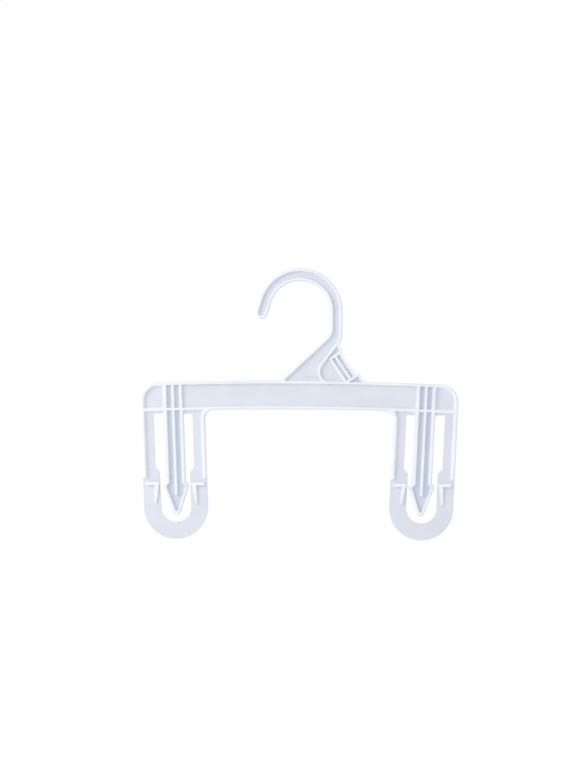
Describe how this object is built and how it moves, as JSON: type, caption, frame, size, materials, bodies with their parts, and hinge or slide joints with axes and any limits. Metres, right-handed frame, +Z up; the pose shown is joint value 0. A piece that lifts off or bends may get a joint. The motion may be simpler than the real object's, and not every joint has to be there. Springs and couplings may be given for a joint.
{
  "type": "trouser hanger",
  "caption": "White moulded trouser hanger: a round hook on a bent neck, an arched ribbed crossbar, and a springy tongue-in-loop clip at each end to grip a waistband.",
  "frame": {"origin": "the rail seat: the highest point of the inside of the hook, in the middle of the hanger's thickness", "axes": "+X along the crossbar, to the right as seen from the front; +Y to the back; +Z up, so the clips hang towards -Z"},
  "size_m": [0.25, 0.007, 0.2133],
  "materials": {
    "frame_plastic": "satin white polypropylene, slightly cool",
    "clip_plastic": "satin white polypropylene, slightly cool, the same moulding as the frame"
  },
  "bodies": {
    "hanger_frame": {"hook": "frame_plastic", "neck": "frame_plastic", "size_marker_post": "frame_plastic", "crossbar": "frame_plastic"},
    "left_loop": {"left_loop": "clip_plastic"},
    "left_tongue": {"left_tongue": "clip_plastic"},
    "right_loop": {"right_loop": "clip_plastic"},
    "right_tongue": {"right_tongue": "clip_plastic"}
  },
  "joints": [
    {"name": "left_loop_flex", "type": "hinge", "parent": "hanger_frame", "child": "left_loop", "pos_m": [-0.09933, 0, -0.1053], "axis": [1, 0, 0], "range_deg": [-5, 5], "stiffness_Nm_per_rad": 8},
    {"name": "left_tongue_flex", "type": "hinge", "parent": "hanger_frame", "child": "left_tongue", "pos_m": [-0.09933, 0, -0.1053], "axis": [1, 0, 0], "range_deg": [-7, 7], "stiffness_Nm_per_rad": 11},
    {"name": "right_loop_flex", "type": "hinge", "parent": "hanger_frame", "child": "right_loop", "pos_m": [0.09933, 0, -0.1053], "axis": [1, 0, 0], "range_deg": [-5, 5], "stiffness_Nm_per_rad": 8},
    {"name": "right_tongue_flex", "type": "hinge", "parent": "hanger_frame", "child": "right_tongue", "pos_m": [0.09933, 0, -0.1053], "axis": [1, 0, 0], "range_deg": [-7, 7], "stiffness_Nm_per_rad": 11}
  ]
}
